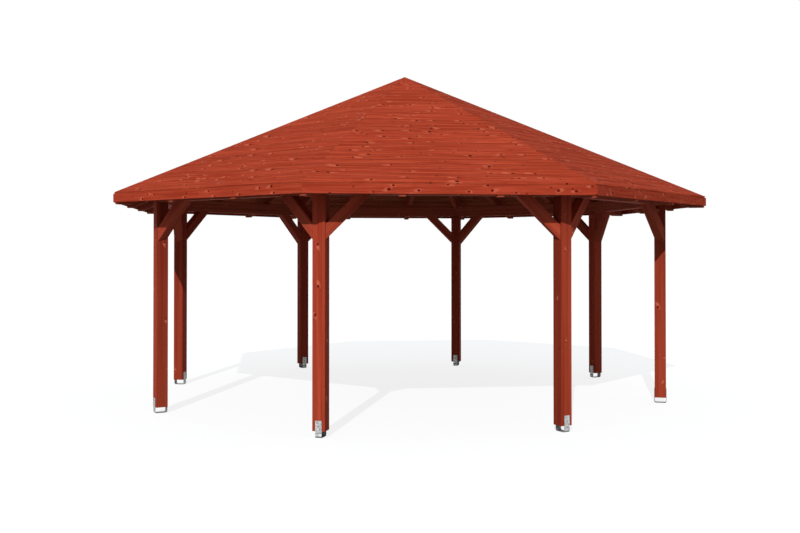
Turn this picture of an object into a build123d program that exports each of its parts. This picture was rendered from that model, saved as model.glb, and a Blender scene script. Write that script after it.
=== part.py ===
from build123d import *
import os
from math import atan, ceil, cos, radians, sin, tan

os.makedirs("parts", exist_ok=True)

# Open octagonal garden gazebo of glued timber: eight posts on steel anchors, a mitred ring of
# beams with knee braces, hip and jack rafters, and a boarded pyramid roof with a fascia.
# Millimetres, +Z up. The origin is on the ground at the middle, and side 1 faces -Y.

# Driving dimensions
sides = 8

arris = 3.0                    # planed off the long edges of every timber

post_circle_radius = 2900.0    # middle of the gazebo to the middle of each post
post_width = 120.0
post_length = 2100.0

anchor_gap = 60.0              # clear height of the post's foot above the ground
anchor_strap_width = 60.0
anchor_strap_thickness = 5.0
anchor_grip = 95.0             # length of strap on the wood
anchor_bend_radius = 15.0      # inside the bend
anchor_screw_hole = 9.0        # across the corners of a twelve-sided hole
anchor_screw_pitch = 30.0      # up the strap, from hole to hole
anchor_screw_stagger = 15.0    # across the strap, from hole to hole
anchor_edge_distance = 22.0    # top hole to the end of the strap
anchor_spare_hole_drop = 11.0  # lowest hole below the post's foot
anchor_ground_hole = 14.0

beam_thickness = 100.0
beam_height = 145.0
beam_offset = 18.0             # beams and braces sit this far outside the line of the posts

brace_thickness = 100.0
brace_depth = 100.0
brace_reach = 376.0            # along the beam, from the post to the brace's lower edge
brace_angle = 45.0

roof_pitch = 25.0
rafter_width = 60.0
jack_depth = 120.0
hip_depth = 160.0
birdsmouth_depth = 34.0        # height of a jack's notch at the beam's outer face
tail_drop = 20.0               # level-cut underside of a rafter's tail, below the fascia
jacks_per_side = 2

board_thickness = 19.0
board_cover = 121.0            # one tongue-and-groove board, along the slope
first_board = 107.0            # the trimmed board at the eaves
board_groove_width = 5.0
board_groove_depth = 3.0

overhang = 381.0               # beam face to fascia face
fascia_thickness = 19.0
fascia_height = 86.0

king_block_clearance = 1.0     # each side of a hip rafter on its face of the block
king_block_drop = 60.0         # below the hip rafters

# Sizes that follow from the driving dimensions
step = 360.0 / sides
half = radians(step / 2)
pitch = radians(roof_pitch)
slope = tan(pitch)
hip_pitch = atan(slope * cos(half))

post_top = anchor_gap + post_length
beam_top = post_top + beam_height
beam_line = post_circle_radius * cos(half) + beam_offset
beam_outer = beam_line + beam_thickness / 2
beam_inner = beam_line - beam_thickness / 2

fascia_outer = beam_outer + overhang
fascia_inner = fascia_outer - fascia_thickness

jack_plumb = jack_depth / cos(pitch)
hip_plumb = hip_depth / cos(hip_pitch)
board_plumb = board_thickness / cos(pitch)
rafter_peak = beam_top - birdsmouth_depth + beam_outer * slope + jack_plumb
roof_peak = rafter_peak + board_plumb
fascia_top = rafter_peak - fascia_inner * slope
tail_bottom = fascia_top - fascia_height - tail_drop

king_block_apothem = (rafter_width / 2 + king_block_clearance) / tan(half)
reach = 4 * fascia_outer       # longer than anything it has to cut


def vertex_angle(number):
    """Direction of post and hip rafter 1 to 8, anticlockwise from the front left."""
    return -90.0 + step * (number - 1.5)


def side_angle(number):
    """Direction that side 1 to 8 faces, anticlockwise from the front."""
    return -90.0 + step * (number - 1)


def turned(shape, angle):
    """A shape drawn facing +X, turned about the middle of the gazebo."""
    return Rot(0, 0, angle) * shape


def prism(points, low, high):
    """An upright prism on a plan outline."""
    outline = make_face(Polyline(*points, close=True))
    return Pos(0, 0, low) * extrude(outline, high - low)


def section(points, width):
    """A profile drawn in X and Z, extruded evenly to both sides of Y = 0."""
    outline = make_face(Polyline(*points, close=True))
    return Plane.XZ * extrude(outline, width / 2, both=True)


def rafter_blank(start, end, fall, plumb_depth):
    """A rafter under the peak, planed along its lower edges, with a plumb and level cut tail."""
    profile = [
        (start, rafter_peak - start * fall),
        (end, rafter_peak - end * fall),
        (end, rafter_peak - end * fall - plumb_depth),
        (start, rafter_peak - start * fall - plumb_depth),
    ]
    blank = section(profile, rafter_width)
    long_edges = blank.edges().filter_by(Axis((0, 0, 0), (1, 0, -fall)))
    blank = chamfer(long_edges.sort_by(Axis.Z)[:2], arris)
    below = Box(reach, reach, reach, align=(Align.MIN, Align.CENTER, Align.MAX))
    return blank - Pos(0, 0, tail_bottom) * below


def ring_segment(inner, outer, low, high):
    """One mitred side of an octagonal ring, facing +X."""
    plan = [
        (inner, -inner * tan(half)),
        (outer, -outer * tan(half)),
        (outer, outer * tan(half)),
        (inner, inner * tan(half)),
    ]
    return prism(plan, low, high)


def above_rafters(angle):
    """The space above the rafters on the slope that faces this way."""
    facing = Vector(sin(pitch), 0, cos(pitch)).rotate(Axis.Z, angle)
    level = Vector(0, 1, 0).rotate(Axis.Z, angle)
    top = Plane(origin=(0, 0, rafter_peak), x_dir=level, z_dir=facing)
    return top * Box(reach, reach, reach, align=(Align.CENTER, Align.CENTER, Align.MIN))


# Posts
def make_post():
    post = Box(post_width, post_width, post_length, align=(Align.CENTER, Align.CENTER, Align.MIN))
    post = chamfer(post.edges().filter_by(Axis.Z), arris)
    return Pos(post_circle_radius, 0, anchor_gap) * post


# Steel anchors: a U of flat bar round each foot, holed for coach screws and a ground bolt
def make_anchor():
    outer_half = post_width / 2 + anchor_strap_thickness
    top = anchor_gap + anchor_grip
    outside = RectangleRounded(
        2 * outer_half, 2 * top, anchor_bend_radius + anchor_strap_thickness
    )
    inside_height = 2 * (top - anchor_strap_thickness)
    inside = RectangleRounded(post_width, inside_height, anchor_bend_radius)
    outline = Pos(0, top) * outside - Pos(0, top) * inside
    outline &= Pos(0, top / 2) * Rectangle(2 * outer_half, top)
    anchor = Plane.XZ * extrude(outline, anchor_strap_width / 2, both=True)

    hole = Plane.YZ * RegularPolygon(anchor_screw_hole / 2, 12)
    screw = extrude(hole, post_width, both=True)
    for number in range(3):
        across = anchor_screw_stagger * (number - 1)
        height = top - anchor_edge_distance - anchor_screw_pitch * number
        anchor -= Pos(0, across, height) * screw
    anchor -= Pos(0, anchor_screw_stagger, anchor_gap - anchor_spare_hole_drop) * screw
    anchor -= Cylinder(anchor_ground_hole / 2, anchor_gap)
    return Pos(post_circle_radius, 0, 0) * anchor


# Ring of beams, mitred over the posts
def make_beam():
    beam = ring_segment(beam_inner, beam_outer, post_top, beam_top)
    return chamfer(beam.edges().filter_by(Axis.Y), arris)


# Knee braces: one at each end of a side, cut plumb against the post and level under the beam
def make_braces():
    side_half = post_circle_radius * sin(half)
    rise = tan(radians(brace_angle))
    plumb_depth = brace_depth / cos(radians(brace_angle))
    post_face = side_half - post_width / 2 / cos(half)
    lower_tip = post_face - brace_reach
    upper_tip = lower_tip + plumb_depth / rise
    past_post = side_half + post_width
    profile = [
        (lower_tip, post_top),
        (upper_tip, post_top),
        (past_post, post_top - (past_post - upper_tip) * rise),
        (past_post, post_top - (past_post - lower_tip) * rise),
    ]
    outline = make_face(Polyline(*profile, close=True))
    brace = Plane.YZ * extrude(outline, brace_thickness / 2, both=True)
    along = Axis((0, 0, 0), (0, 1, -rise))
    brace = Pos(beam_line, 0, 0) * chamfer(brace.edges().filter_by(along), arris)
    beyond_face = Box(reach, reach, reach, align=(Align.CENTER, Align.MIN, Align.CENTER))
    beyond_face = Pos(post_circle_radius, -post_width / 2, 0) * beyond_face
    brace -= turned(beyond_face, step / 2)
    return [brace, mirror(brace, Plane.XZ)]


# Rafters, notched over the beams, cut plumb behind the fascia and level below it
def make_hip():
    hip = rafter_blank(king_block_apothem, fascia_inner / cos(half), tan(hip_pitch), hip_plumb)
    for side in (-step / 2, step / 2):
        hip -= above_rafters(side)
        hip -= turned(ring_segment(beam_inner, beam_outer, post_top, beam_top), side)
        outside = Box(reach, reach, reach, align=(Align.MIN, Align.CENTER, Align.CENTER))
        hip -= turned(Pos(fascia_inner, 0, rafter_peak) * outside, side)
    return hip


def make_jacks():
    rafter = rafter_blank(0, fascia_inner, slope, jack_plumb)
    rafter -= ring_segment(beam_inner, beam_outer, post_top, beam_top)
    between_start = rafter_width / 2 / sin(half)
    between_half = (reach - between_start) * tan(half)
    between_hips = prism(
        [(between_start, 0), (reach, -between_half), (reach, between_half)], 0, roof_peak
    )
    spacing = 2 * fascia_outer * tan(half) / (jacks_per_side + 1)
    jacks = []
    for number in range(jacks_per_side):
        across = spacing * (number - (jacks_per_side - 1) / 2)
        jacks.append(Pos(0, across, 0) * rafter & between_hips)
    return jacks


# King block at the peak, with one face for each hip rafter and a top cut to the slopes
def make_king_block():
    radius = king_block_apothem / cos(half)
    low = rafter_peak - king_block_apothem * tan(hip_pitch) - hip_plumb - king_block_drop
    block = Pos(0, 0, low) * extrude(
        RegularPolygon(radius, sides, rotation=180.0 / sides), rafter_peak - low
    )
    block = turned(block, vertex_angle(1))
    for number in range(1, sides + 1):
        block -= above_rafters(side_angle(number))
    return block


# Roof boards of one slope: a V groove marks each tongue-and-groove joint
def make_roof_slope():
    def on_slope(along, depth):
        """A point this far down the slope from the peak and this deep in the boards."""
        return (
            along * cos(pitch) - depth * sin(pitch),
            roof_peak - along * sin(pitch) - depth * cos(pitch),
        )

    eave_along = fascia_inner / cos(pitch) + board_plumb * sin(pitch)
    profile = [(0, rafter_peak), (0, roof_peak)]
    joint_count = ceil((eave_along - first_board) / board_cover)
    for number in reversed(range(joint_count)):
        joint = eave_along - first_board - board_cover * number
        if joint > board_cover / 2:
            profile.append(on_slope(joint - board_groove_width / 2, 0))
            profile.append(on_slope(joint, board_groove_depth))
            profile.append(on_slope(joint + board_groove_width / 2, 0))
    profile.append(on_slope(eave_along, 0))
    profile.append(on_slope(eave_along, board_thickness))
    boards = section(profile, reach)
    return boards & prism([(0, 0), (reach, -reach * tan(half)), (reach, reach * tan(half))], 0, reach)


# Fascia boards, mitred at the corners
def make_fascia():
    return ring_segment(fascia_inner, fascia_outer, fascia_top - fascia_height, fascia_top)


def save(name, solids):
    """Write one node: its solids lie side by side and don't touch."""
    if len(solids) == 1:
        export_step(solids[0], "parts/" + name + ".step")
    else:
        export_step(Compound(children=solids), "parts/" + name + ".step")


everywhere = range(1, sides + 1)
front_posts = [8, 1, 2, 3]
back_posts = [4, 5, 6, 7]

post = make_post()
beam = make_beam()
braces = make_braces()
slope_boards = make_roof_slope()
for number in everywhere:
    save(f"post_{number}", [turned(post, vertex_angle(number))])
    save(f"ring_beam_{number}", [turned(beam, side_angle(number))])
    save(f"braces_{number}", [turned(brace, side_angle(number)) for brace in braces])
    save(f"roof_slope_{number}", [turned(slope_boards, side_angle(number))])

anchor = make_anchor()
hip = make_hip()
for half_name, numbers in (("front", front_posts), ("back", back_posts)):
    save(f"post_anchors_{half_name}", [turned(anchor, vertex_angle(n)) for n in numbers])
    save(f"hip_rafters_{half_name}", [turned(hip, vertex_angle(n)) for n in numbers])

jacks = make_jacks()
for group, numbers in (("front", [8, 1, 2]), ("ends", [3, 7]), ("back", [4, 5, 6])):
    save(f"jack_rafters_{group}", [turned(jack, side_angle(n)) for n in numbers for jack in jacks])

fascia = make_fascia()
save("fascia_odd_sides", [turned(fascia, side_angle(n)) for n in everywhere if n % 2 == 1])
save("fascia_even_sides", [turned(fascia, side_angle(n)) for n in everywhere if n % 2 == 0])
save("king_block", [make_king_block()])
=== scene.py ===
import random
from math import atan2, cos, pi, radians, sin

import bmesh
import bpy
from mathutils import Matrix, Vector


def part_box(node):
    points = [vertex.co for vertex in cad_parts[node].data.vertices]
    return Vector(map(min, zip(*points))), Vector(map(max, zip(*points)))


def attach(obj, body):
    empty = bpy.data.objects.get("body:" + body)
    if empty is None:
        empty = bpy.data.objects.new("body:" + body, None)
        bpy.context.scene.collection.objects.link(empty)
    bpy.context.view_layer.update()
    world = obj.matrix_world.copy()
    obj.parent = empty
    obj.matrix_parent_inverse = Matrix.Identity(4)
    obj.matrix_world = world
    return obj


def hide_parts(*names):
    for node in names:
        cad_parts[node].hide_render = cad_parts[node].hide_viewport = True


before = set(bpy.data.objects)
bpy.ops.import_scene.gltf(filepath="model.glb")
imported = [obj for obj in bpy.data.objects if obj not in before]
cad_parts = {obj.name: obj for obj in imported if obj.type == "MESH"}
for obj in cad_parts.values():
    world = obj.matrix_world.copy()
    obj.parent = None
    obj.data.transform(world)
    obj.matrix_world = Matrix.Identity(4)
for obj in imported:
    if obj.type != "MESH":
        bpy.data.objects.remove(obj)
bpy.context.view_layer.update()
scene = bpy.context.scene
print("frame loaded:", len(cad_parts), "nodes")


# what the frame says about the gazebo, in metres
sideCount = 8
halfStep = pi / sideCount
everySide = range(1, sideCount + 1)
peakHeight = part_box("roof_slope_1")[1].z
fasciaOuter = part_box("fascia_odd_sides")[1].y
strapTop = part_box("post_anchors_front")[1].z
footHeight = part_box("post_1")[0].z
postRadius = (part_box("post_1")[0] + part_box("post_1")[1]).to_2d().length / 2


def sideAngle(number):  # side 1 faces -Y, the others follow anticlockwise
    return -pi / 2 + 2 * halfStep * (number - 1)


def postAngle(number):
    return -pi / 2 + 2 * halfStep * (number - 1.5)


def paint(red, green, blue):  # a colour in screen values, made linear for the shader
    channels = []
    for value in (red, green, blue):
        share = value / 255
        channels.append(share / 12.92 if share <= 0.04045 else ((share + 0.055) / 1.055) ** 2.4)
    return (*channels, 1.0)


# small helpers for node trees, used by shaders and geometry nodes alike
def put(tree, kind, inputs=None, **settings):
    node = tree.nodes.new(kind)
    for name, value in settings.items():
        setattr(node, name, value)
    for name, value in (inputs or {}).items():
        if isinstance(value, bpy.types.NodeSocket):
            tree.links.new(value, node.inputs[name])
        else:
            node.inputs[name].default_value = value
    return node


def calc(tree, operation, *values):
    return put(tree, "ShaderNodeMath", dict(enumerate(values)), operation=operation).outputs[0]


def ramp(tree, value, low, high, bottom=0.0, top=1.0):  # smooth step from low to high
    node = put(
        tree,
        "ShaderNodeMapRange",
        {"Value": value, "From Min": low, "From Max": high, "To Min": bottom, "To Max": top},
        interpolation_type="SMOOTHSTEP",
    )
    return node.outputs[0]


def blendColour(tree, factor, first, second, blend="MIX"):
    node = put(tree, "ShaderNodeMix", {0: factor, 6: first, 7: second}, data_type="RGBA")
    node.blend_type = blend
    return node.outputs[2]


def vector(tree, x=0.0, y=0.0, z=0.0):
    return put(tree, "ShaderNodeCombineXYZ", {0: x, 1: y, 2: z}).outputs[0]


def partsOf(tree, source):
    return put(tree, "ShaderNodeSeparateXYZ", {0: source}).outputs


def stored(tree, name):
    return put(tree, "ShaderNodeAttribute", attribute_name=name, attribute_type="GEOMETRY").outputs


def hypotenuse(tree, first, second):
    squares = [calc(tree, "POWER", side, 2.0) for side in (first, second)]
    return calc(tree, "SQRT", calc(tree, "ADD", *squares))


def between(tree, first, second, share):  # first where the share is 0, second where it is 1
    rest = calc(tree, "MULTIPLY", first, calc(tree, "SUBTRACT", 1.0, share))
    return calc(tree, "ADD", rest, calc(tree, "MULTIPLY", second, share))


def noise(tree, x, y, detail, **more):
    inputs = {"Vector": vector(tree, x, y), "Scale": 1.0, "Detail": detail, **more}
    return put(tree, "ShaderNodeTexNoise", inputs, noise_dimensions="2D").outputs["Fac"]


def newTree(name, kind, inputs, outputs):
    tree = bpy.data.node_groups.new(name, kind)
    for label, socketKind, value in inputs:
        socket = tree.interface.new_socket(label, in_out="INPUT", socket_type=socketKind)
        if value is not None:
            socket.default_value = value
    for label, socketKind in outputs:
        tree.interface.new_socket(label, in_out="OUTPUT", socket_type=socketKind)
    given = tree.nodes.new("NodeGroupInput").outputs
    wanted = tree.nodes.new("NodeGroupOutput").inputs
    return tree, given, wanted


# planed softwood seen through a stain, in the coordinates that every timber carries:
# grain.x along the fibres, grain.y across them, grain.z a tone for the whole stick
figure = {  # the values that all timbers share, lengths in metres
    "jitter": 0.85, "knotPower": 1.6, "leastKnot": 0.45, "leastRadius": 0.00001, "ovalSpread": 0.4,
    "knotEdge": (1.15, 0.8), "knotRings": 2.5,
    "partReach": 0.4, "partSoftness": 0.00002, "partStrength": 1.3, "partMost": 0.95,
    "paleSide": 0.75, "paleLean": (0.6, 2.4), "paleSkew": 0.9, "paleShape": (0.28, 0.6),
    "paleEdge": (1.2, 0.3), "paleKnots": (0.15, 0.5), "ragged": (25.0, 120.0), "raggedDepth": 1.4,
    "swell": (0.9, 11.0), "swellHeight": 0.09, "pith": (0.03, 0.05), "ringPower": 2.2,
    "fibres": (22.0, 900.0), "ringRelief": -0.5, "fibreRelief": 0.5, "knotRelief": 0.6,
}


def makeGrainGroup():
    inputs = [
        ("Streak Width", "NodeSocketFloat", 0.02), ("Streak Length", "NodeSocketFloat", 0.8),
        ("Ring Pitch", "NodeSocketFloat", 0.005), ("Knot Spacing", "NodeSocketFloat", 0.4),
        ("Knot Row", "NodeSocketFloat", 0.11), ("Knot Share", "NodeSocketFloat", 0.6),
        ("Knot Radius", "NodeSocketFloat", 0.012), ("Knot Oval", "NodeSocketFloat", 0.65),
    ]
    labels = ("Streaks", "Rings", "Knots", "Pale", "Cut", "Tone", "Height")
    outputs = [(label, "NodeSocketFloat") for label in labels]
    tree, given, wanted = newTree("stainedGrain", "ShaderNodeTree", inputs, outputs)
    along, across, tone = partsOf(tree, stored(tree, "grain")["Vector"])
    cut = stored(tree, "cut")["Fac"]

    # knots: one or none in each cell of a jittered grid
    gridPoint = vector(
        tree,
        calc(tree, "DIVIDE", along, given["Knot Spacing"]),
        calc(tree, "DIVIDE", across, given["Knot Row"]),
    )
    cells = put(
        tree, "ShaderNodeTexVoronoi",
        {"Vector": gridPoint, "Scale": 1.0, "Randomness": figure["jitter"]},
        voronoi_dimensions="2D", feature="F1",
    ).outputs
    offset = put(
        tree, "ShaderNodeVectorMath", {0: gridPoint, 1: cells["Position"]}, operation="SUBTRACT"
    ).outputs[0]
    gap = partsOf(tree, offset)
    gapAlong = calc(tree, "MULTIPLY", gap[0], given["Knot Spacing"])
    gapAcross = calc(tree, "MULTIPLY", gap[1], given["Knot Row"])
    dice = put(tree, "ShaderNodeSeparateColor", {0: cells["Color"]}).outputs
    present = calc(tree, "LESS_THAN", dice[0], given["Knot Share"])
    size = calc(tree, "POWER", dice[1], figure["knotPower"])
    size = calc(tree, "MULTIPLY_ADD", size, 1 - figure["leastKnot"], figure["leastKnot"])
    radius = calc(tree, "MULTIPLY", calc(tree, "MULTIPLY", size, given["Knot Radius"]), present)
    radius = calc(tree, "ADD", radius, figure["leastRadius"])
    # below 1: longer with the grain
    oval = calc(tree, "MULTIPLY_ADD", dice[2], figure["ovalSpread"], given["Knot Oval"])
    distance = hypotenuse(tree, calc(tree, "MULTIPLY", gapAlong, oval), gapAcross)
    ratio = calc(tree, "DIVIDE", distance, radius)
    knot = ramp(tree, ratio, *figure["knotEdge"])

    # the fibres part round a knot as water does round a pile
    reach = calc(tree, "MULTIPLY", gapAlong, figure["partReach"])
    reach = calc(tree, "ADD", calc(tree, "POWER", reach, 2.0), calc(tree, "POWER", gapAcross, 2.0))
    push = calc(
        tree, "DIVIDE",
        calc(tree, "MULTIPLY", radius, radius), calc(tree, "ADD", reach, figure["partSoftness"]),
    )
    push = calc(tree, "MULTIPLY", push, figure["partStrength"])
    push = calc(tree, "MINIMUM", push, figure["partMost"])
    flow = calc(tree, "SUBTRACT", across, calc(tree, "MULTIPLY", gapAcross, push))

    # paler wood beside the larger knots, mostly on one side of them and a little askew
    leastLean, leanSpread = figure["paleLean"]
    turning = calc(tree, "MULTIPLY", given["Knot Share"], figure["paleSide"])
    mostly = calc(tree, "SIGN", calc(tree, "SUBTRACT", dice[0], turning))
    lean = calc(tree, "MULTIPLY", calc(tree, "MULTIPLY_ADD", dice[2], leanSpread, leastLean), mostly)
    skew = calc(tree, "MULTIPLY", calc(tree, "SUBTRACT", dice[1], 0.5), figure["paleSkew"])
    haloAlong = calc(tree, "SUBTRACT", calc(tree, "DIVIDE", gapAlong, radius), lean)
    askew = calc(tree, "MULTIPLY", haloAlong, skew)
    haloAcross = calc(tree, "SUBTRACT", calc(tree, "DIVIDE", gapAcross, radius), askew)
    halo = hypotenuse(
        tree,
        calc(tree, "MULTIPLY", haloAlong, figure["paleShape"][0]),
        calc(tree, "MULTIPLY", haloAcross, figure["paleShape"][1]),
    )
    rag = noise(
        tree,
        calc(tree, "MULTIPLY", along, figure["ragged"][0]),
        calc(tree, "MULTIPLY", flow, figure["ragged"][1]), 2.0,
    )
    rag = calc(tree, "MULTIPLY", calc(tree, "SUBTRACT", rag, 0.5), figure["raggedDepth"])
    halo = calc(tree, "ADD", halo, rag)
    pale = calc(tree, "MULTIPLY", ramp(tree, halo, *figure["paleEdge"]), present)
    pale = calc(tree, "MULTIPLY", pale, ramp(tree, dice[1], *figure["paleKnots"]))

    # wide streaks that read from afar, then growth rings as the contour lines of a long soft noise
    streaks = noise(
        tree,
        calc(tree, "DIVIDE", along, given["Streak Length"]),
        calc(tree, "DIVIDE", flow, given["Streak Width"]), 3.0, Roughness=0.6,
    )
    swell = noise(
        tree,
        calc(tree, "MULTIPLY", along, figure["swell"][0]),
        calc(tree, "MULTIPLY", flow, figure["swell"][1]), 1.0,
    )
    swell = calc(tree, "MULTIPLY", swell, figure["swellHeight"])
    sideRings = calc(tree, "DIVIDE", swell, given["Ring Pitch"])
    fromPith = hypotenuse(
        tree,
        calc(tree, "ADD", along, figure["pith"][0]),
        calc(tree, "ADD", across, figure["pith"][1]),
    )
    endRings = calc(tree, "DIVIDE", fromPith, given["Ring Pitch"])
    rings = between(tree, sideRings, endRings, cut)
    rings = between(tree, rings, calc(tree, "MULTIPLY", ratio, figure["knotRings"]), knot)
    rings = calc(tree, "POWER", calc(tree, "FRACT", rings), figure["ringPower"])
    fibres = noise(
        tree,
        calc(tree, "MULTIPLY", along, figure["fibres"][0]),
        calc(tree, "MULTIPLY", flow, figure["fibres"][1]), 2.0,
    )
    knotRelief = calc(tree, "MULTIPLY", knot, figure["knotRelief"])
    relief = calc(tree, "ADD", calc(tree, "MULTIPLY", fibres, figure["fibreRelief"]), knotRelief)
    height = calc(tree, "ADD", calc(tree, "MULTIPLY", rings, figure["ringRelief"]), relief)
    side = calc(tree, "SUBTRACT", 1.0, cut)
    knots = calc(tree, "MULTIPLY", knot, side)
    pale = calc(tree, "MULTIPLY", pale, side)
    for label, socket in zip(labels, (streaks, rings, knots, pale, cut, tone, height)):
        tree.links.new(socket, wanted[label])
    return tree


grainGroup = makeGrainGroup()


# one stain on every timber: each material is the same recipe with its own values
def makeStain(name, look):
    material = bpy.data.materials.new(name)
    material.use_nodes = True
    tree = material.node_tree
    tree.nodes.clear()
    grain = tree.nodes.new("ShaderNodeGroup")
    grain.node_tree = grainGroup
    for label, value in look["grain"].items():
        grain.inputs[label].default_value = value
    out = grain.outputs
    streaks = ramp(tree, out["Streaks"], 0.5 - look["streakSpread"], 0.5 + look["streakSpread"])
    colour = blendColour(tree, streaks, paint(*look["deep"]), paint(*look["light"]))
    ringDark = calc(tree, "MULTIPLY", out["Rings"], look["ringDepth"])
    colour = blendColour(tree, ringDark, colour, paint(*look["latewood"]))
    tone = calc(tree, "MULTIPLY_ADD", out["Tone"], 2 * look["toneSpread"], 1.0 - look["toneSpread"])
    grey = put(tree, "ShaderNodeCombineColor", {0: tone, 1: tone, 2: tone}).outputs[0]
    colour = blendColour(tree, 1.0, colour, grey, "MULTIPLY")
    facing = partsOf(tree, put(tree, "ShaderNodeTexCoord").outputs["Normal"])[2]
    under = ramp(tree, facing, *look["underside"])
    shares = {
        "pale": calc(tree, "MULTIPLY", out["Pale"], ramp(tree, under, 0.0, 1.0, *look["paleDepths"])),
        "endGrain": calc(tree, "MULTIPLY", out["Cut"], look["endDepth"]),
        "knot": calc(tree, "MULTIPLY", out["Knots"], ramp(tree, under, 0.0, 1.0, *look["knotDepths"])),
    }
    for label, share in shares.items():
        colour = blendColour(tree, share, colour, paint(*look[label]))
    # undersides take a tint that is painted shade, greyer than the lit stain
    colour = blendColour(tree, under, colour, (*look["undersideShadeTint"], 1), "MULTIPLY")
    rough = calc(tree, "MULTIPLY_ADD", out["Streaks"], look["roughSpread"], look["roughness"])
    bump = put(
        tree, "ShaderNodeBump",
        {"Strength": look["bump"], "Distance": look["relief"], "Height": out["Height"]},
    )
    shader = put(
        tree, "ShaderNodeBsdfPrincipled",
        {"Base Color": colour, "Roughness": rough, "Normal": bump.outputs[0],
         "Specular IOR Level": look["gloss"]},
    )
    put(tree, "ShaderNodeOutputMaterial", {"Surface": shader.outputs[0]})
    return material


# pairs of depths are for upper faces and for undersides; the underside tint is painted shade, greyer
# than the lit stain
stain = {
    "deep": (156, 53, 32), "light": (190, 75, 50), "latewood": (126, 40, 24), "pale": (216, 108, 80),
    "endGrain": (196, 84, 60), "knot": (106, 7, 3), "undersideShadeTint": (1.0, 1.0, 1.0),
    "streakSpread": 0.12, "ringDepth": 0.3, "toneSpread": 0.07, "endDepth": 0.6,
    "paleDepths": (0.8, 0.2), "knotDepths": (0.92, 0.6), "underside": (-0.1, -0.6),
    "roughness": 0.65, "roughSpread": 0.12, "gloss": 0.006, "bump": 0.5, "relief": 0.0006,
}
timberLook = {
    **stain, "streakSpread": 0.3, "ringDepth": 0.1, "gloss": 0.055,
    "grain": {"Streak Width": 0.05, "Streak Length": 1.8, "Ring Pitch": 0.005, "Knot Spacing": 0.42,
              "Knot Row": 0.12, "Knot Share": 0.6, "Knot Radius": 0.013, "Knot Oval": 0.65},
}
# braces: between the timber stain and the frame's painted shade tint, so their stain is partly painted
# shade
braceLook = {**timberLook, "deep": (154, 56, 35), "light": (187, 78, 54)}
# beams and rafters: under the roof and never in the sun; their browner stain is painted shade, making
# their shade less red
frameShadeTintLook = {**timberLook, "deep": (156, 64, 42), "light": (188, 88, 64)}
boardLook = {
    **stain, "deep": (158, 54, 32), "light": (191, 77, 51), "knot": (62, 5, 3),
    # underside tint: painted shade, much greyer board undersides
    "undersideShadeTint": (1.12, 1.8, 1.8), "paleDepths": (0.62, 0.155),
    "grain": {"Streak Width": 0.021, "Streak Length": 0.9, "Ring Pitch": 0.006, "Knot Spacing": 0.24,
              "Knot Row": 0.1, "Knot Share": 0.55, "Knot Radius": 0.020, "Knot Oval": 0.85},
}
fasciaLook = {
    **stain, "deep": (164, 56, 34), "light": (194, 75, 50),
    "streakSpread": 0.24, "ringDepth": 0.18, "paleDepths": (0.6, 0.15), "gloss": 0.015,
    "grain": {"Streak Width": 0.024, "Streak Length": 0.6, "Ring Pitch": 0.005, "Knot Spacing": 0.2,
              "Knot Row": 0.05, "Knot Share": 0.75, "Knot Radius": 0.015, "Knot Oval": 0.65},
}
timberStain = makeStain("stainedTimber", timberLook)
braceStain = makeStain("stainedBraces", braceLook)
frameShadeTintStain = makeStain("stainedFrameShadeTint", frameShadeTintLook)
boardStain = makeStain("stainedBoards", boardLook)
fasciaStain = makeStain("stainedFascia", fasciaLook)


# the last two colours are painted shade: grey for faces out of the sun, near black inside the strap's
# holes
zinc = {
    "fresh": (219, 218, 215), "dull": (162, 163, 163), "paintedShade": (92, 93, 95), "boreShade": (34, 34, 35),
    "spangle": 0.012, "cloudScale": 28.0, "flakeShare": 0.45, "cloudShare": 0.6, "spread": (0.2, 0.85),
    "paintedShadeDepth": 0.8, "metallic": 0.22, "roughness": 0.39, "roughSpread": 0.15, "bump": 0.25,
    "relief": 0.0004,
}


def makeZinc():
    material = bpy.data.materials.new("galvanisedSteel")
    material.use_nodes = True
    tree = material.node_tree
    tree.nodes.clear()
    place = put(tree, "ShaderNodeTexCoord").outputs["Object"]
    flakes = put(
        tree, "ShaderNodeTexVoronoi", {"Vector": place, "Scale": 1 / zinc["spangle"]}, feature="F1"
    )
    flake = put(tree, "ShaderNodeSeparateColor", {0: flakes.outputs["Color"]}).outputs[0]
    clouds = put(
        tree, "ShaderNodeTexNoise", {"Vector": place, "Scale": zinc["cloudScale"], "Detail": 4.0}
    ).outputs["Fac"]
    clouds = calc(tree, "MULTIPLY", clouds, zinc["cloudShare"])
    mask = calc(tree, "ADD", calc(tree, "MULTIPLY", flake, zinc["flakeShare"]), clouds)
    mottle = ramp(tree, mask, *zinc["spread"])
    colour = blendColour(tree, mottle, paint(*zinc["dull"]), paint(*zinc["fresh"]))
    # the attribute says 0 for open faces, 1 for faces out of the sun, painted grey as their shade, and
    # 2 for the bores, painted near black as their shade
    paintedShade = stored(tree, "paintedShade")["Fac"]
    paintedShadeShare = calc(tree, "MULTIPLY", calc(tree, "MINIMUM", paintedShade, 1.0), zinc["paintedShadeDepth"])
    colour = blendColour(tree, paintedShadeShare, colour, paint(*zinc["paintedShade"]))
    boreShade = calc(tree, "MAXIMUM", calc(tree, "SUBTRACT", paintedShade, 1.0), 0.0)
    colour = blendColour(tree, boreShade, colour, paint(*zinc["boreShade"]))
    rough = calc(tree, "MULTIPLY_ADD", mask, zinc["roughSpread"], zinc["roughness"])
    bump = put(
        tree, "ShaderNodeBump", {"Strength": zinc["bump"], "Distance": zinc["relief"], "Height": mask}
    )
    shader = put(
        tree, "ShaderNodeBsdfPrincipled",
        {"Base Color": colour, "Roughness": rough, "Normal": bump.outputs[0],
         "Metallic": zinc["metallic"]},
    )
    put(tree, "ShaderNodeOutputMaterial", {"Surface": shader.outputs[0]})
    return material


zincCoat = makeZinc()
print("materials made")


# finished copies of the solids: merged, with soft edges and fibres that run the length of each stick
copying = {"merge": 0.00005, "flatUnder": radians(0.4), "onPlane": 0.00001}


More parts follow.
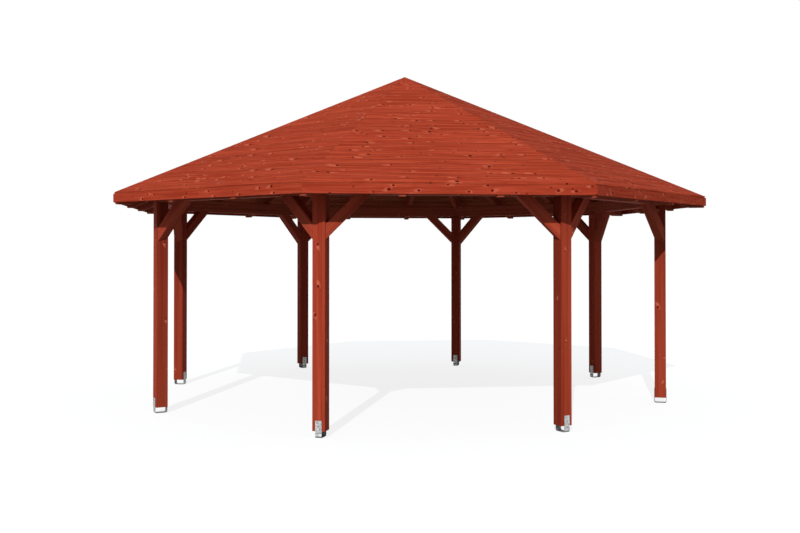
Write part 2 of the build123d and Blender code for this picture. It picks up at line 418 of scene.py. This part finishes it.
def copyOf(node):
    bm = bmesh.new()
    bm.from_mesh(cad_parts[node].data)
    bmesh.ops.remove_doubles(bm, verts=bm.verts, dist=copying["merge"])
    bmesh.ops.dissolve_limit(bm, angle_limit=copying["flatUnder"], verts=bm.verts, edges=bm.edges)
    return bm


def scoreAt(bm, point, normal):  # edges where a plane crosses the faces
    everything = bm.verts[:] + bm.edges[:] + bm.faces[:]
    bmesh.ops.bisect_plane(
        bm, geom=everything, dist=copying["onPlane"], plane_co=point, plane_no=normal
    )


def meshOf(bm, name):
    mesh = bpy.data.meshes.new(name)
    bm.to_mesh(mesh)
    bm.free()
    return mesh


def centreOf(faces):
    points = {vert for face in faces for vert in face.verts}
    low = Vector(min(vert.co[i] for vert in points) for i in range(3))
    high = Vector(max(vert.co[i] for vert in points) for i in range(3))
    return (low + high) / 2


def softenEdges(bm, width, steps, least):
    sharp = [
        edge for edge in bm.edges
        if len(edge.link_faces) == 2 and edge.is_convex and edge.calc_face_angle(0) > least
    ]
    bmesh.ops.bevel(
        bm, geom=sharp, offset=width, segments=steps, profile=0.5, affect="EDGES", clamp_overlap=True
    )


def sticksIn(bm):  # the faces of each separate solid, always in the same order
    seen = set()
    sticks = []
    for first in bm.faces:
        if first in seen:
            continue
        seen.add(first)
        stack = [first]
        stick = []
        while stack:
            face = stack.pop()
            stick.append(face)
            for edge in face.edges:
                for other in edge.link_faces:
                    if other not in seen:
                        seen.add(other)
                        stack.append(other)
        sticks.append(stick)
    return sticks


fibreLaying = {
    "upright": 0.98, "steep": 0.9, "endGrain": 0.6, "slide": 40, "layerSlide": 20, "layerTone": 0.3,
    "turnAlong": 3, "turnAcross": 0.7,
}


def fibreDirection(stick):  # along the longest edge
    runs = []
    for face in stick:
        for edge in face.edges:
            run = edge.verts[1].co - edge.verts[0].co
            run = run if (run.x, run.y, run.z) > (0, 0, 0) else -run
            runs.append((round(run.length, 4), tuple(round(part, 4) for part in run)))
    direction = Vector(max(runs)[1]).normalized()
    return Vector((0, 0, 1)) if abs(direction.z) > fibreLaying["upright"] else direction


def sortKey(faces):
    return tuple(round(part, 3) for part in centreOf(faces))


def layFibres(bm, rng, layerOf, faceTone):
    grain = bm.loops.layers.float_vector.new("grain")
    cut = bm.faces.layers.float.new("cut")
    laying = fibreLaying
    for stick in sorted(sticksIn(bm), key=sortKey):
        middle = centreOf(stick)
        fibres = fibreDirection(stick)
        steep = abs(fibres.z) > laying["steep"]
        reference = fibres.orthogonal() if steep else fibres.cross(Vector((0, 0, 1)))
        reference.normalize()
        third = fibres.cross(reference)
        slide = rng.uniform(-laying["slide"], laying["slide"])
        tone = rng.random()
        layers = {}
        for layer in sorted({layerOf(face.calc_center_median() - middle) for face in stick}):
            shift = rng.uniform(-laying["layerSlide"], laying["layerSlide"])
            layers[layer] = (shift, rng.uniform(-laying["layerTone"], laying["layerTone"]))
        for face in stick:
            isEnd = abs(face.normal.dot(fibres)) > laying["endGrain"]
            face[cut] = 1.0 if isEnd else 0.0
            turn = atan2(face.normal.dot(third), face.normal.dot(reference))
            quarter = round(turn / (pi / 4))
            sideways = reference if isEnd else face.normal.cross(fibres).normalized()
            centre = face.calc_center_median()
            shift, lift = layers[layerOf(centre - middle)]
            lift += faceTone(face.normal, centre)
            for loop in face.loops:
                place = loop.vert.co - middle
                if isEnd:
                    loop[grain] = (place.dot(reference), place.dot(third), tone)
                else:
                    loop[grain] = (
                        place.dot(fibres) + slide + shift + laying["turnAlong"] * quarter,
                        place.dot(sideways) + shift + laying["turnAcross"] * quarter,
                        tone + lift,
                    )


def finishPiece(name, mesh, material, nodes):
    piece = bpy.data.objects.new(name, mesh)
    scene.collection.objects.link(piece)
    mesh.materials.clear()
    mesh.materials.append(material)
    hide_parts(*nodes)
    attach(piece, "root")
    return piece


timber = {"edge": 0.0012, "edgeSteps": 2, "leastAngle": radians(20)}
seeds = {"post": 4120, "beam": 4140, "brace": 4160, "rafter": 4180, "fascia": 4200}


def oneLayer(offset):
    return 0


def plainTone(normal, place):
    return 0.0


def timberFrom(node, material, seed, glueLines=(), layerOf=oneLayer, faceTone=plainTone, drill=None):
    bm = copyOf(node)
    softenEdges(bm, timber["edge"], timber["edgeSteps"], timber["leastAngle"])
    if drill:
        drill(bm)
    for point, normal in glueLines:
        scoreAt(bm, point, normal)
    layFibres(bm, random.Random(seed), layerOf, faceTone)
    return finishPiece(node + "_timber", meshOf(bm, node), material, [node])


posts = {  # three layers, joints front to back; some sticks are darker
    "width": 0.12, "lamella": 0.04, "sideTone": -1.1, "frontTone": 0.4,
    "darker": {2: 1.4, 5: 1.8, 6: 0.9, 7: 0.45, 8: 0.65},
    "skin": 0.002, "endFacing": 0.99, "sideFacing": 0.7,
}
pilotHoles = {  # empty holes behind the anchors' straps; their walls get painted shade, a very dark tone
    "radius": 0.0042, "depth": 0.04, "sides": 16, "firstDrop": 0.022, "pitch": 0.03,
    "stagger": 0.015, "rows": 3, "boreShadeTone": -6.5,
}


def drillPost(bm, middle, outward, across):
    drills = bmesh.new()
    halfWidth = posts["width"] / 2
    for row in range(pilotHoles["rows"]):
        height = strapTop - pilotHoles["firstDrop"] - row * pilotHoles["pitch"]
        sideways = across * pilotHoles["stagger"] * (row - 1)
        for face in (outward, -outward):
            start = Vector((middle.x, middle.y, height)) + sideways + face * halfWidth
            place = Matrix.Translation(start) @ face.to_track_quat("Z", "Y").to_matrix().to_4x4()
            bmesh.ops.create_cone(
                drills, cap_ends=True, segments=pilotHoles["sides"], radius1=pilotHoles["radius"],
                radius2=pilotHoles["radius"], depth=2 * pilotHoles["depth"], matrix=place,
            )
    cutters = bpy.data.objects.new("drills", meshOf(drills, "drills"))
    uncut = bpy.data.meshes.new("uncut")
    bm.to_mesh(uncut)
    holder = bpy.data.objects.new("uncut", uncut)
    scene.collection.objects.link(cutters)
    scene.collection.objects.link(holder)
    boring = holder.modifiers.new("boring", "BOOLEAN")
    boring.object = cutters
    boring.operation = "DIFFERENCE"
    boring.solver = "EXACT"
    bpy.context.view_layer.update()
    evaluated = holder.evaluated_get(bpy.context.evaluated_depsgraph_get())
    bored = bpy.data.meshes.new_from_object(evaluated)
    bm.clear()
    bm.from_mesh(bored)
    bpy.data.objects.remove(cutters)
    bpy.data.objects.remove(holder)


def makePosts():
    for number in everySide:
        angle = postAngle(number)
        low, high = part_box(f"post_{number}")
        middle = (low + high) / 2
        across = Vector((-sin(angle), cos(angle), 0))
        outward = Vector((cos(angle), sin(angle), 0))
        lines = [(middle + across * posts["lamella"] / 2 * side, across) for side in (-1, 1)]

        def tone(normal, place, middle=middle, across=across, outward=outward, number=number):
            offset = place - middle
            depth = posts["width"] / 2 - max(abs(offset.dot(across)), abs(offset.dot(outward)))
            # walls inside the bores: painted shade through a very dark tone
            if depth > posts["skin"] and abs(normal.z) < posts["endFacing"]:
                return pilotHoles["boreShadeTone"]
            isSide = abs(normal.dot(across)) > posts["sideFacing"]
            base = posts["sideTone"] if isSide else posts["frontTone"]
            return base - posts["darker"].get(number, 0.0)

        def layerOf(offset, across=across):  # rounding can make a side face one more layer
            return round(offset.dot(across) / posts["lamella"])

        def drill(bm, middle=middle, outward=outward, across=across):
            drillPost(bm, middle, outward, across)

        timberFrom(f"post_{number}", timberStain, seeds["post"] + number, lines, layerOf, tone, drill)


beams = {"layers": 4}


def makeBeams():
    for number in everySide:
        low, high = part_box(f"ring_beam_{number}")
        layer = (high.z - low.z) / beams["layers"]
        middle = (high.z + low.z) / 2
        heights = [low.z + layer * count for count in range(1, beams["layers"])]
        lines = [(Vector((0, 0, height)), Vector((0, 0, 1))) for height in heights]

        def layerOf(offset, heights=heights, middle=middle):  # how many glue lines lie below
            return sum(offset.z + middle > height for height in heights)

        timberFrom(f"ring_beam_{number}", frameShadeTintStain, seeds["beam"] + number, lines, layerOf)


makePosts()
makeBeams()
for number in everySide:
    timberFrom(f"braces_{number}", braceStain, seeds["brace"] + number)
rafterNodes = ["hip_rafters_front", "hip_rafters_back", "jack_rafters_front", "jack_rafters_ends",
               "jack_rafters_back", "king_block"]
for order, node in enumerate(rafterNodes):
    timberFrom(node, frameShadeTintStain, seeds["rafter"] + order)

fascia = {"thickness": 0.019, "darker": {2: 0.95, 8: 0.55}}


def fasciaTone(normal, place):
    number = round((atan2(normal.y, normal.x) - sideAngle(1)) / (2 * halfStep)) % sideCount + 1
    return -fascia["darker"].get(number, 0.0)


for order, node in enumerate(("fascia_odd_sides", "fascia_even_sides")):
    timberFrom(node, fasciaStain, seeds["fascia"] + order, faceTone=fasciaTone)
print("timbers finished")


anchors = {
    "edge": 0.0007, "edgeSteps": 2, "leastAngle": radians(40), "smoothUnder": radians(24),
    "thickness": 0.005, "width": 0.06, "skin": 0.002, "boreFacing": 0.3, "lowestBore": 0.03,
    "seamDrop": 0.0185, "seamWidth": 0.0045, "seamDepth": 0.0042, "seamEdge": 0.0003,
    "onRow": 0.0001, "seamReach": 0.00077, "openReach": 0.00105,
}


def besideAnchor(place):  # how far a point stands proud of the outside of its anchor's straps
    number = round((atan2(place.y, place.x) - postAngle(1)) / (2 * halfStep))
    angle = postAngle(1) + 2 * halfStep * number
    outward = Vector((cos(angle), sin(angle), 0))
    offset = place.dot(outward) - postRadius
    return abs(offset) - posts["width"] / 2 - anchors["thickness"], outward if offset > 0 else -outward


def pressSeam(bm):  # a line pressed across the outside of each strap, just under the post
    middle = footHeight - anchors["seamDrop"]
    half = anchors["seamWidth"] / 2
    inner = half - anchors["seamEdge"]
    for row in (middle - half, middle - inner, middle + inner, middle + half):
        scoreAt(bm, (0, 0, row), (0, 0, 1))
    for vert in bm.verts:
        proud, outward = besideAnchor(vert.co)
        inSeam = abs(vert.co.z - middle) < half - anchors["onRow"]
        if inSeam and proud > -anchors["seamReach"]:
            vert.co -= outward * anchors["seamDepth"]


def paintedShadeOf(face):  # what the zinc's attribute says of a face: 0 open, 1 painted shade out of the sun, 2 painted shade inside a bore
    middle = face.calc_center_median()
    proud, outward = besideAnchor(middle)
    if proud > -anchors["openReach"]:
        return 0.0
    inStrap = proud > -anchors["thickness"] and middle.z > anchors["lowestBore"]
    awayFromRim = abs(middle.cross(outward).z) < anchors["width"] / 2 - anchors["skin"]
    if inStrap and awayFromRim and abs(face.normal.dot(outward)) < anchors["boreFacing"]:
        return 2.0
    return 1.0


def makeAnchors():
    for node in ("post_anchors_front", "post_anchors_back"):
        bm = copyOf(node)
        softenEdges(bm, anchors["edge"], anchors["edgeSteps"], anchors["leastAngle"])
        pressSeam(bm)
        # faces out of the sun and inside the bores are marked for painted shade
        paintedShade = bm.faces.layers.float.new("paintedShade")
        for face in bm.faces:
            face.smooth = True
            face[paintedShade] = paintedShadeOf(face)
        mesh = meshOf(bm, node)
        mesh.set_sharp_from_angle(angle=anchors["smoothUnder"])
        finishPiece(node + "_zinc", mesh, zincCoat, [node])


makeAnchors()
print("anchors finished")


# roof boards: one mitred board in each course of each slope
roof = {
    "pitch": radians(25), "boardThickness": 0.019, "boardCover": 0.121, "eaveBoard": 0.107,
    "eaveLap": 0.004, "jointGap": 0.00004, "jointChamfer": 0.0021, "mitreGap": 0.0002, "seed": 7,
    "darker": {2: 0.75, 8: 0.3},
}


def makeBoardTree():
    inputs = [
        ("Facing", "NodeSocketFloat", 0.0), ("Pitch", "NodeSocketFloat", 0.4),
        ("Half Angle", "NodeSocketFloat", 0.39), ("Peak Height", "NodeSocketFloat", 3.0),
        ("Eave Distance", "NodeSocketFloat", 3.0), ("Eave Board", "NodeSocketFloat", 0.1),
        ("Board Cover", "NodeSocketFloat", 0.12), ("Board Thickness", "NodeSocketFloat", 0.02),
        ("Joint Gap", "NodeSocketFloat", 0.001), ("Joint Chamfer", "NodeSocketFloat", 0.002),
        ("Mitre Gap", "NodeSocketFloat", 0.0), ("Courses", "NodeSocketInt", 10),
        ("Seed", "NodeSocketInt", 0), ("Darker", "NodeSocketFloat", 0.0),
        ("Material", "NodeSocketMaterial", None),
    ]
    outputs = [("Geometry", "NodeSocketGeometry")]
    tree, given, wanted = newTree("roofBoards", "GeometryNodeTree", inputs, outputs)

    # the section of a board, with the edges of its joints planed off
    faceWidth = calc(tree, "SUBTRACT", given["Board Cover"], given["Joint Gap"])
    outline = put(
        tree, "GeometryNodeCurvePrimitiveQuadrilateral",
        {"Width": faceWidth, "Height": given["Board Thickness"]}, mode="RECTANGLE",
    )
    outline = put(
        tree, "GeometryNodeFilletCurve",
        {"Curve": outline.outputs[0], "Radius": given["Joint Chamfer"], "Count": 1,
         "Limit Radius": True},
        mode="POLY",
    )
    rail = put(tree, "GeometryNodeCurvePrimitiveLine", {"Start": (0, -0.5, 0), "End": (0, 0.5, 0)})
    board = put(
        tree, "GeometryNodeCurveToMesh",
        {"Curve": rail.outputs[0], "Profile Curve": outline.outputs[0], "Fill Caps": True},
    )

    # where each course starts and ends, down the slope from the peak
    index = put(tree, "GeometryNodeInputIndex").outputs[0]
    last = calc(tree, "SUBTRACT", given["Courses"], 1)
    stepsUp = calc(tree, "SUBTRACT", last, index)
    joint = calc(
        tree, "SUBTRACT",
        calc(tree, "SUBTRACT", given["Eave Distance"], given["Eave Board"]),
        calc(tree, "MULTIPLY", stepsUp, given["Board Cover"]),
    )
    upper = calc(tree, "MAXIMUM", joint, 0.0)
    lower = calc(tree, "ADD", joint, given["Board Cover"])
    lower = calc(tree, "MINIMUM", lower, given["Eave Distance"])
    width = calc(tree, "DIVIDE", calc(tree, "SUBTRACT", lower, upper), given["Board Cover"])
    middle = calc(tree, "MULTIPLY", calc(tree, "ADD", lower, upper), 0.5)
    halfThick = calc(tree, "MULTIPLY", given["Board Thickness"], -0.5)

    points = put(tree, "GeometryNodeMeshLine", {"Count": given["Courses"]}).outputs[0]
    points = put(
        tree, "GeometryNodeSetPosition",
        {"Geometry": points, "Position": vector(tree, middle, 0.0, halfThick)},
    ).outputs[0]
    chance = put(
        tree, "FunctionNodeRandomValue", {"ID": index, "Seed": given["Seed"]}, data_type="FLOAT_VECTOR"
    ).outputs[0]
    points = put(
        tree, "GeometryNodeStoreNamedAttribute",
        {"Geometry": points, "Name": "chance", "Value": chance},
        data_type="FLOAT_VECTOR", domain="POINT",
    ).outputs[0]
    courses = put(
        tree, "GeometryNodeInstanceOnPoints",
        {"Points": points, "Instance": board.outputs[0], "Scale": vector(tree, width, 1.0, 1.0)},
    ).outputs[0]
    courses = put(tree, "GeometryNodeRealizeInstances", {"Geometry": courses}).outputs[0]

    # both ends run out to the hips, whatever the length that takes
    place = partsOf(tree, put(tree, "GeometryNodeInputPosition").outputs[0])
    steepness = calc(tree, "MULTIPLY", calc(tree, "TANGENT", given["Pitch"]), -1.0)
    topEdge = calc(tree, "MULTIPLY", place[2], steepness)
    down = calc(tree, "MAXIMUM", place[0], topEdge)
    outward = calc(
        tree, "ADD",
        calc(tree, "MULTIPLY", down, calc(tree, "COSINE", given["Pitch"])),
        calc(tree, "MULTIPLY", place[2], calc(tree, "SINE", given["Pitch"])),
    )
    reach = calc(tree, "MULTIPLY", outward, calc(tree, "TANGENT", given["Half Angle"]))
    reach = calc(tree, "MAXIMUM", calc(tree, "SUBTRACT", reach, given["Mitre Gap"]), 0.0)
    level = calc(tree, "MULTIPLY", calc(tree, "SIGN", place[1]), reach)
    boards = put(
        tree, "GeometryNodeSetPosition",
        {"Geometry": courses, "Position": vector(tree, down, level, place[2])},
    ).outputs[0]

    # fibres along the board, shifted at random from board to board
    drawn = put(tree, "GeometryNodeInputNamedAttribute", {"Name": "chance"}, data_type="FLOAT_VECTOR")
    luck = partsOf(tree, drawn.outputs[0])
    place = partsOf(tree, put(tree, "GeometryNodeInputPosition").outputs[0])
    grain = vector(
        tree,
        calc(tree, "MULTIPLY_ADD", luck[0], 60.0, place[1]),
        calc(tree, "MULTIPLY_ADD", luck[1], 40.0, calc(tree, "ADD", place[0], place[2])),
        calc(tree, "SUBTRACT", luck[2], given["Darker"]),
    )
    boards = put(
        tree, "GeometryNodeStoreNamedAttribute",
        {"Geometry": boards, "Name": "grain", "Value": grain},
        data_type="FLOAT_VECTOR", domain="POINT",
    ).outputs[0]

    boards = put(
        tree, "GeometryNodeTransform",
        {"Geometry": boards, "Rotation": vector(tree, 0.0, given["Pitch"], 0.0),
         "Translation": vector(tree, 0.0, 0.0, given["Peak Height"])},
    ).outputs[0]
    boards = put(
        tree, "GeometryNodeTransform",
        {"Geometry": boards, "Rotation": vector(tree, 0.0, 0.0, given["Facing"])},
    ).outputs[0]
    boards = put(tree, "GeometryNodeRealizeInstances", {"Geometry": boards}).outputs[0]
    boards = put(
        tree, "GeometryNodeSetMaterial", {"Geometry": boards, "Material": given["Material"]}
    ).outputs[0]
    tree.links.new(boards, wanted["Geometry"])
    return tree


def grow(name, tree, values):  # runs a geometry nodes tree and keeps its plain mesh
    holder = bpy.data.objects.new(name, bpy.data.meshes.new(name + "Start"))
    scene.collection.objects.link(holder)
    modifier = holder.modifiers.new(tree.name, "NODES")
    modifier.node_group = tree
    for item in tree.interface.items_tree:
        if item.in_out == "INPUT" and item.name in values:
            modifier[item.identifier] = values[item.name]
    bpy.context.view_layer.update()
    evaluated = holder.evaluated_get(bpy.context.evaluated_depsgraph_get())
    mesh = bpy.data.meshes.new_from_object(evaluated)
    bpy.data.objects.remove(holder)
    bm = bmesh.new()
    bm.from_mesh(mesh)
    bmesh.ops.remove_doubles(bm, verts=bm.verts, dist=0.00001)
    bmesh.ops.dissolve_degenerate(bm, dist=0.00001, edges=bm.edges)
    bmesh.ops.recalc_face_normals(bm, faces=bm.faces)
    bm.to_mesh(mesh)
    bm.free()
    return mesh


boardPlumb = roof["boardThickness"] / cos(roof["pitch"])
eaveDistance = (fasciaOuter - fascia["thickness"]) / cos(roof["pitch"])
eaveDistance += boardPlumb * sin(roof["pitch"])
courseCount = int((eaveDistance - roof["eaveBoard"]) // roof["boardCover"]) + 2
boardTree = makeBoardTree()
for number in everySide:
    boards = grow(
        f"roof_slope_{number}", boardTree,
        {
            "Facing": sideAngle(number), "Pitch": roof["pitch"], "Half Angle": halfStep,
            "Peak Height": peakHeight, "Eave Distance": eaveDistance + roof["eaveLap"],
            "Eave Board": roof["eaveBoard"] + roof["eaveLap"],
            "Board Cover": roof["boardCover"], "Board Thickness": roof["boardThickness"],
            "Joint Gap": roof["jointGap"], "Joint Chamfer": roof["jointChamfer"],
            "Mitre Gap": roof["mitreGap"], "Courses": courseCount, "Seed": roof["seed"] + number,
            "Darker": roof["darker"].get(number, 0.0), "Material": boardStain,
        },
    )
    name = f"roof_boards_{number}"
    finishPiece(name, boards, boardStain, [f"roof_slope_{number}"])
print("roof boarded:", courseCount, "courses a side")


# pale floor, sun and sky
stage = {
    "floorSize": 90.0, "floorGlow": 0.82, "floorShade": 0.26, "floorBounce": (0.27, 0.325, 0.335),
    "skyGlow": 1.0, "skyLight": 0.42, "skyTint": (0.93, 1.02, 1.12),
    "sunStrength": 2.33, "sunSpread": radians(0.5),
    "sunAngle": radians(-107.65), "sunHeight": radians(30.5),
}


def seenDirectly(tree):  # camera rays, and what polished metal mirrors
    path = put(tree, "ShaderNodeLightPath").outputs
    seen = calc(tree, "MAXIMUM", path["Is Camera Ray"], path["Is Glossy Ray"])
    return calc(tree, "MAXIMUM", seen, path["Is Transmission Ray"])


def makeFloor():
    bm = bmesh.new()
    bmesh.ops.create_grid(bm, x_segments=1, y_segments=1, size=stage["floorSize"] / 2)
    mesh = bpy.data.meshes.new("floor")
    bm.to_mesh(mesh)
    bm.free()
    material = bpy.data.materials.new("paleFloor")
    material.use_nodes = True
    tree = material.node_tree
    tree.nodes.clear()
    glow = put(tree, "ShaderNodeEmission", {"Color": (1, 1, 1, 1), "Strength": stage["floorGlow"]})
    shade = put(tree, "ShaderNodeBsdfDiffuse", {"Color": (*[stage["floorShade"]] * 3, 1)})
    bounce = put(tree, "ShaderNodeBsdfDiffuse", {"Color": (*stage["floorBounce"], 1)})
    both = put(tree, "ShaderNodeAddShader", {0: glow.outputs[0], 1: shade.outputs[0]})
    seen = seenDirectly(tree)
    mix = put(tree, "ShaderNodeMixShader", {0: seen, 1: bounce.outputs[0], 2: both.outputs[0]})
    put(tree, "ShaderNodeOutputMaterial", {"Surface": mix.outputs[0]})
    mesh.materials.append(material)
    floor = bpy.data.objects.new("floor", mesh)
    scene.collection.objects.link(floor)


def makeSky():
    world = bpy.data.worlds.new("studio")
    scene.world = world
    world.use_nodes = True
    tree = world.node_tree
    tree.nodes.clear()
    seen = seenDirectly(tree)
    strength = calc(tree, "MULTIPLY_ADD", seen, stage["skyGlow"] - stage["skyLight"], stage["skyLight"])
    colour = blendColour(tree, seen, (*stage["skyTint"], 1), (1, 1, 1, 1))
    background = put(tree, "ShaderNodeBackground", {"Color": colour, "Strength": strength})
    put(tree, "ShaderNodeOutputWorld", {"Surface": background.outputs[0]})


def makeSun():
    light = bpy.data.lights.new("sun", "SUN")
    light.energy = stage["sunStrength"]
    light.angle = stage["sunSpread"]
    sun = bpy.data.objects.new("sun", light)
    scene.collection.objects.link(sun)
    height, angle = stage["sunHeight"], stage["sunAngle"]
    towards = Vector((cos(height) * cos(angle), cos(height) * sin(angle), sin(height)))
    sun.rotation_euler = towards.to_track_quat("Z", "Y").to_euler()


makeFloor()
makeSky()
makeSun()


# the photograph's view: eye height, out in front and a little to the left
view = {
    "eye": (-1.537, -11.600, 1.653), "heading": (0.12735, 0.99186), "upTilt": radians(0.648),
    "focalPixels": 996.75, "centreX": 400.68, "centreY": 240.27, "width": 800, "height": 533,
    "sensor": 36.0,
}


def makeCamera():
    lens = bpy.data.cameras.new("camera")
    lens.sensor_width = view["sensor"]
    lens.lens = view["focalPixels"] / view["width"] * view["sensor"]
    lens.shift_x = -(view["centreX"] - view["width"] / 2) / view["width"]
    lens.shift_y = (view["centreY"] - view["height"] / 2) / view["width"]
    lens.clip_end = 300.0
    camera = bpy.data.objects.new("camera", lens)
    scene.collection.objects.link(camera)
    camera.location = view["eye"]
    level = cos(view["upTilt"])
    sight = Vector((view["heading"][0] * level, view["heading"][1] * level, sin(view["upTilt"])))
    camera.rotation_euler = sight.to_track_quat("-Z", "Y").to_euler()
    scene.camera = camera


makeCamera()
scene.view_settings.view_transform = "Standard"
print("stage set")
